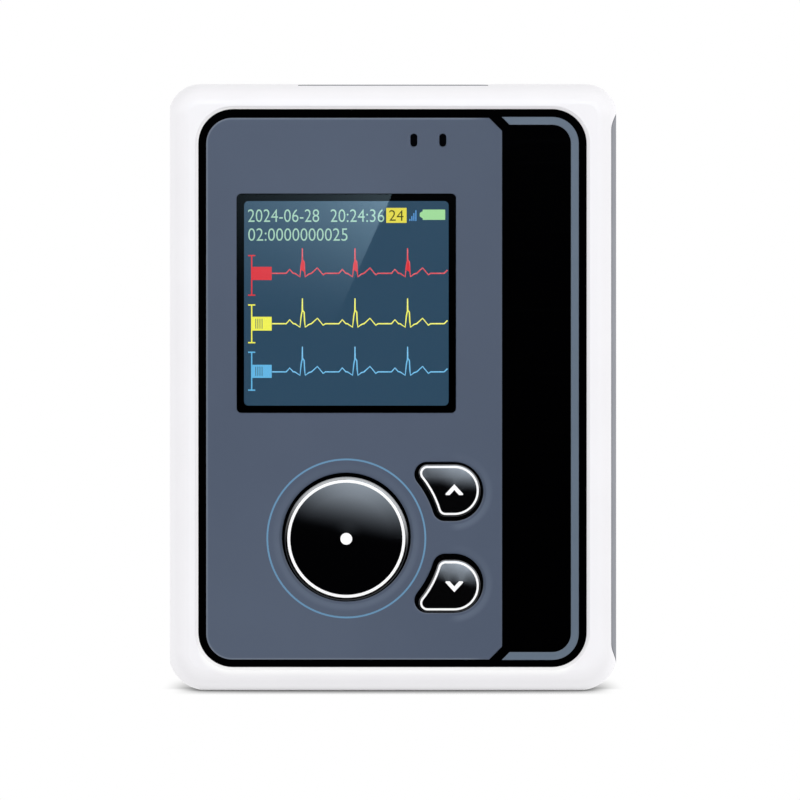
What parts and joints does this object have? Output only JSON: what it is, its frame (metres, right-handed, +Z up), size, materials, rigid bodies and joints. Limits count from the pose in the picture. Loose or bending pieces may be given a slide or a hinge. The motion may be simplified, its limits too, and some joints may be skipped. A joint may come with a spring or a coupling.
{
  "type": "ecg home monitor",
  "caption": "Upright pocket ECG recorder: square colour display, round centre button with up and down keys, side battery door, top cable socket.",
  "frame": {"origin": "middle of the underside of the upright recorder, at the middle of its depth", "axes": "+Z up along the height, -Y out of the face towards the user, +X to the right of someone facing it"},
  "size_m": [0.0604, 0.0186, 0.0822],
  "materials": {
    "white_shell": "satin white moulded plastic",
    "black_face": "smooth black plastic",
    "slate": "satin slate grey",
    "slate_light": "satin light slate",
    "accent_blue": "satin blue",
    "smoked_window": "smoked window",
    "display_lens": "clear polished",
    "display_mask": "printed black",
    "black_rubber": "foam rubber",
    "display_screen": "lit colour display",
    "display_frame": "white reflector frame",
    "flex_amber": "polyimide ribbon",
    "grey_foam": "foam",
    "connector_black": "moulded black",
    "gloss_black": "polished black",
    "white_mark": "white inlay",
    "switch_black": "moulded black",
    "switch_steel": "stamped steel",
    "board_green": "solder mask",
    "chip_black": "epoxy package",
    "shield_steel": "tinned can",
    "ceramic_tan": "fired ceramic",
    "led_white": "clear resin",
    "grey_plastic": "moulded dark grey",
    "socket_steel": "plated",
    "contact_gold": "gold plated",
    "tray_black": "moulded black",
    "cell_can": "bare can",
    "spring_steel": "plated wire",
    "leaf_steel": "plated sheet",
    "door_grey": "satin grey",
    "pin_steel": "drawn wire",
    "screw_steel": "zinc plated",
    "insert_brass": "knurled"
  },
  "bodies": {
    "case": {"front_shell": "white_shell", "rear_shell": "white_shell", "face_plate": "black_face", "slate_panel": "slate", "slate_stripe": "slate_light", "accent_ring": "accent_blue", "light_pipes": "smoked_window", "display_lens": "display_lens", "display_mask": "display_mask", "display_gasket": "black_rubber", "display_glass": "display_screen", "display_backlight": "display_frame", "display_flex": "flex_amber", "display_pads": "grey_foam", "flex_socket": "connector_black", "key_switches": "switch_steel", "main_board": "board_green", "lead_board": "board_green", "processor": "chip_black", "memory_chip": "chip_black", "amplifier_chips": "chip_black", "radio_shield": "shield_steel", "board_passives": "ceramic_tan", "indicator_leds": "led_white", "board_link": "connector_black", "socket_well": "grey_plastic", "socket_shell": "socket_steel", "socket_tongue": "connector_black", "socket_contacts": "contact_gold", "battery_tray": "tray_black", "battery_cell": "cell_can", "battery_spring": "spring_steel", "battery_minus_leaf": "leaf_steel", "battery_plus_leaf": "leaf_steel", "door_hinge_pin": "pin_steel", "case_screws": "screw_steel", "screw_inserts": "insert_brass"},
    "centre_key": {"centre_button": "gloss_black", "centre_button_ring": "white_mark", "centre_button_dot": "white_mark", "centre_switch_stem": "switch_black"},
    "up_key": {"up_button": "gloss_black", "up_button_rim": "white_mark", "up_button_mark": "white_mark", "up_switch_stem": "switch_black"},
    "down_key": {"down_button": "gloss_black", "down_button_rim": "white_mark", "down_button_mark": "white_mark", "down_switch_stem": "switch_black"},
    "door": {"battery_door": "door_grey"}
  },
  "joints": [
    {"name": "centre_press", "type": "slide", "parent": "case", "child": "centre_key", "axis": [0, 1, 0], "range_m": [0, 0.00035], "stiffness_N_per_m": 400},
    {"name": "up_press", "type": "slide", "parent": "case", "child": "up_key", "axis": [0, 1, 0], "range_m": [0, 0.00035], "stiffness_N_per_m": 400},
    {"name": "down_press", "type": "slide", "parent": "case", "child": "down_key", "axis": [0, 1, 0], "range_m": [0, 0.00035], "stiffness_N_per_m": 400},
    {"name": "door_hinge", "type": "hinge", "parent": "case", "child": "door", "pos_m": [0.02905, 0.0065, 0.041], "axis": [0, 0, 1], "range_deg": [0, 90]}
  ]
}
